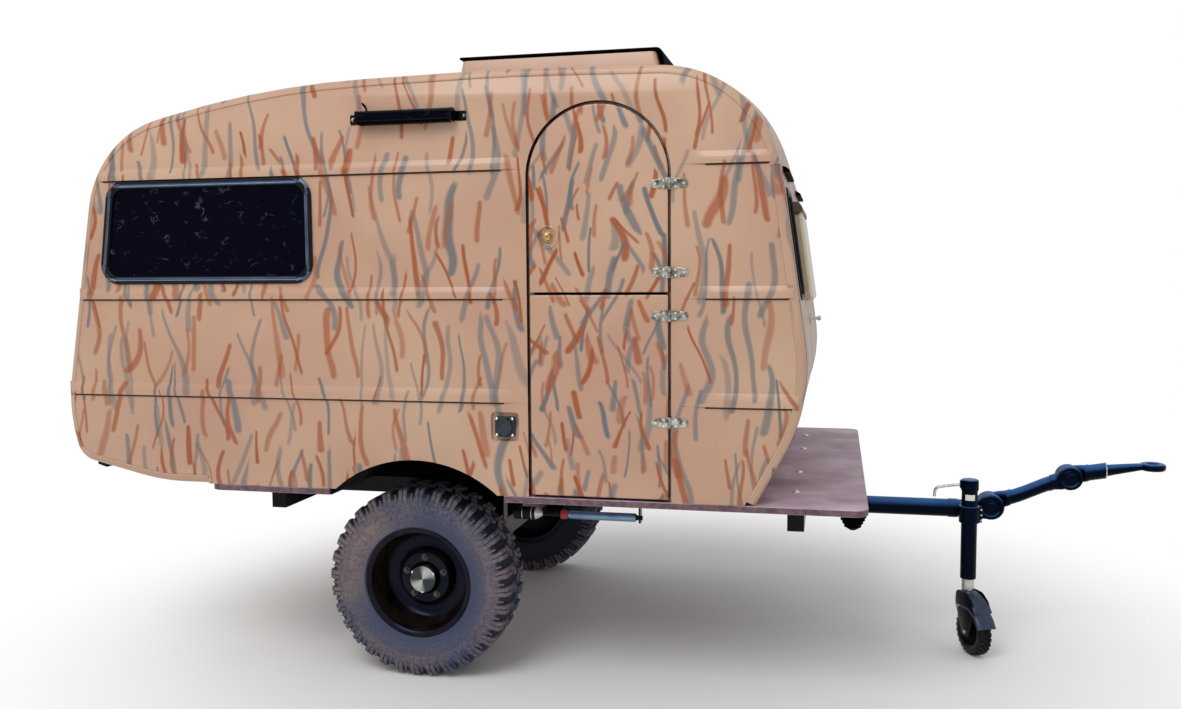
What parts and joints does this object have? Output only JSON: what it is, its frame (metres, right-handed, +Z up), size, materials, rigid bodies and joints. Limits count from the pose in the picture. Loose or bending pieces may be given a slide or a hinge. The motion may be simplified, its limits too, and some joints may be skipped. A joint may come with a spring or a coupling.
{
  "type": "off-road camping caravan",
  "caption": "Small off-road caravan: moulded body with camouflage stripes, stable door, roof hatch, lugged tyres, plank deck, jointed drawbar with tow eye and jockey wheel.",
  "frame": {"origin": "on the ground under the middle of the overall length", "axes": "+X forward to the tow eye, +Y to the left side, +Z up; the door is on the -Y side"},
  "size_m": [4.4105, 2.0553, 2.53],
  "materials": {
    "camouflage_gelcoat": "satin gelcoat with airbrushed rust and blue-grey stripes",
    "film_faced_ply": "brown phenolic film, satin",
    "black_enamel": "gloss black paint",
    "dark_rubber": "bluish black, semi-matt",
    "tinted_acrylic": "dark tint, polished",
    "clear_acrylic": "clear, polished",
    "tyre_rubber": "black rubber with brown dust",
    "bright_zinc": "bright zinc plate",
    "polished_stainless": "polished stainless steel",
    "damper_paint": "gloss blue-silver paint",
    "brass": "polished",
    "brown_plastic": "moulded, satin",
    "lamp_lens": "red moulded lens",
    "plate_white": "blank plate, gloss",
    "black_plastic": "moulded black plastic"
  },
  "bodies": {
    "caravan": {"front_wall": "camouflage_gelcoat", "roof_shell": "camouflage_gelcoat", "rear_wall": "camouflage_gelcoat", "side_wall_right": "camouflage_gelcoat", "side_wall_left": "camouflage_gelcoat", "hatch_upstand": "camouflage_gelcoat", "side_window_seal_right": "dark_rubber", "side_window_seal_left": "dark_rubber", "rear_window_seal": "dark_rubber", "side_window_right": "tinted_acrylic", "side_window_left": "tinted_acrylic", "rear_window": "tinted_acrylic", "front_window_right": "tinted_acrylic", "front_window_left": "tinted_acrylic", "front_window_middle": "clear_acrylic", "front_window_rail": "brown_plastic", "hinge_1": "polished_stainless", "hinge_2": "polished_stainless", "hinge_3": "polished_stainless", "hinge_4": "polished_stainless", "power_inlet": "black_plastic", "light_bar": "black_enamel", "light_bar_lead": "black_plastic", "tail_lamp_right": "lamp_lens", "tail_lamp_left": "lamp_lens", "number_plate": "plate_white", "rear_bar": "black_enamel", "deck": "film_faced_ply", "deck_cowl": "black_plastic", "chassis_frame": "black_enamel", "drawbar": "black_enamel", "axle_beam": "black_enamel", "suspension_arm_right": "black_enamel", "suspension_arm_left": "black_enamel", "damper_right": "damper_paint", "damper_left": "damper_paint", "wheel_arch_right": "black_plastic", "wheel_arch_left": "black_plastic", "jockey_clamp": "black_enamel"},
    "wheel_right": {"tyre_right": "tyre_rubber", "rim_right": "black_enamel", "hub_right": "bright_zinc"},
    "wheel_left": {"tyre_left": "tyre_rubber", "rim_left": "black_enamel", "hub_left": "bright_zinc"},
    "door_upper": {"door_upper": "camouflage_gelcoat", "door_lock": "brass"},
    "door_lower": {"door_lower": "camouflage_gelcoat"},
    "hatch_lid": {"hatch_lid": "black_plastic"},
    "jockey_tube": {"jockey_tube": "black_enamel"},
    "jockey_inner": {"jockey_inner_tube": "bright_zinc"},
    "jockey_fork": {"jockey_fork": "black_enamel"},
    "jockey_wheel": {"jockey_wheel": "tyre_rubber"},
    "coupling_arm": {"coupling_arm": "black_enamel"},
    "tow_eye": {"tow_eye": "black_enamel"}
  },
  "joints": [
    {"name": "wheel_right_spin", "type": "hinge", "parent": "caravan", "child": "wheel_right", "pos_m": [-0.735, -0.765, 0.38], "axis": [0, 1, 0], "continuous": true},
    {"name": "wheel_left_spin", "type": "hinge", "parent": "caravan", "child": "wheel_left", "pos_m": [-0.735, 0.765, 0.38], "axis": [0, 1, 0], "continuous": true},
    {"name": "door_upper_hinge", "type": "hinge", "parent": "caravan", "child": "door_upper", "pos_m": [0.292, -1.003, 1.755], "axis": [0, 0, 1], "range_deg": [0, 160]},
    {"name": "door_lower_hinge", "type": "hinge", "parent": "caravan", "child": "door_lower", "pos_m": [0.292, -1.003, 1.25], "axis": [0, 0, 1], "range_deg": [0, 160]},
    {"name": "hatch_lid_hinge", "type": "hinge", "parent": "caravan", "child": "hatch_lid", "pos_m": [0.17, 0, 2.44], "axis": [0, 1, 0], "range_deg": [0, 45]},
    {"name": "jockey_lift", "type": "slide", "parent": "caravan", "child": "jockey_tube", "axis": [0, 0, 1], "range_m": [0, 0.2]},
    {"name": "jockey_screw", "type": "slide", "parent": "jockey_tube", "child": "jockey_inner", "axis": [0, 0, 1], "range_m": [-0.2, 0.04]},
    {"name": "jockey_swivel", "type": "hinge", "parent": "jockey_inner", "child": "jockey_fork", "pos_m": [1.42, -0.11, 0.262], "axis": [0, 0, 1], "continuous": true},
    {"name": "jockey_wheel_spin", "type": "hinge", "parent": "jockey_fork", "child": "jockey_wheel", "pos_m": [1.44113, -0.15532, 0.1], "axis": [0.9063, 0.4226, 0], "continuous": true},
    {"name": "knuckle_rear", "type": "hinge", "parent": "caravan", "child": "coupling_arm", "pos_m": [1.515, 0, 0.6], "axis": [0, 1, 0], "range_deg": [-30, 30]},
    {"name": "knuckle_front", "type": "hinge", "parent": "coupling_arm", "child": "tow_eye", "pos_m": [1.825, 0, 0.733], "axis": [0, 1, 0], "range_deg": [-30, 30]}
  ]
}
